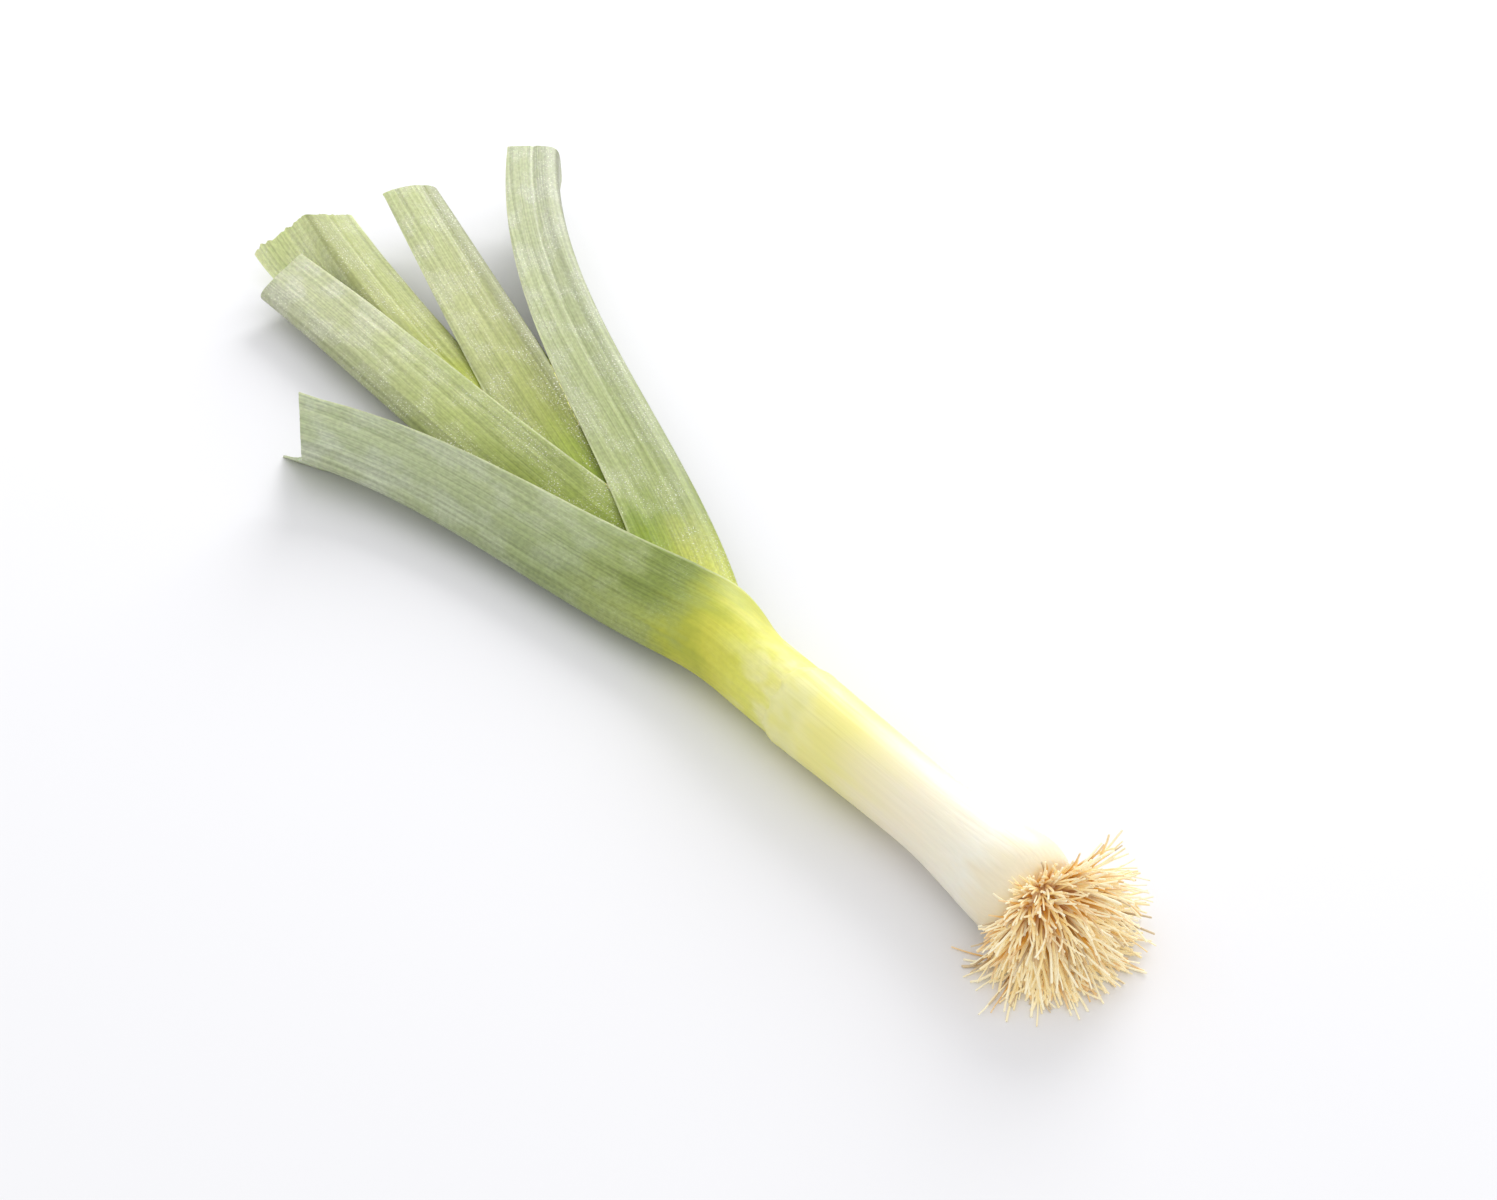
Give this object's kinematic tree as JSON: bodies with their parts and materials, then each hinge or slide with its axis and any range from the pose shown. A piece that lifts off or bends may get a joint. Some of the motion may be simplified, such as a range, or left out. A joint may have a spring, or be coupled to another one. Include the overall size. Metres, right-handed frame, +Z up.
{
  "type": "leek",
  "caption": "Whole leek lying down: fibrous roots, white bulb and stalk, and green strap-like blades folded along their midribs that fan out from the neck.",
  "frame": {"origin": "the small flat spot under the bulb that the leek rests on", "axes": "+Z up from the surface it lies on, roots towards +X, blades towards -X and fanned towards +Y"},
  "size_m": [0.5547, 0.2105, 0.0503],
  "materials": {
    "root_fibre": "matte straw-coloured root fibres",
    "white_shaft": "satin cream-white leaf sheath, yellow-green towards the neck",
    "outer_left_blade": "waxy grey-green leaf",
    "outer_right_blade": "waxy grey-green leaf",
    "middle_left_blade": "waxy light green leaf",
    "middle_right_blade": "waxy yellow-green leaf",
    "inner_blade": "waxy yellow-green leaf"
  },
  "bodies": {
    "root": {"roots": "root_fibre", "shaft": "white_shaft", "leaf_outer_left": "outer_left_blade", "leaf_outer_right": "outer_right_blade", "leaf_middle_left": "middle_left_blade", "leaf_middle_right": "middle_right_blade", "leaf_inner": "inner_blade"}
  },
  "joints": []
}
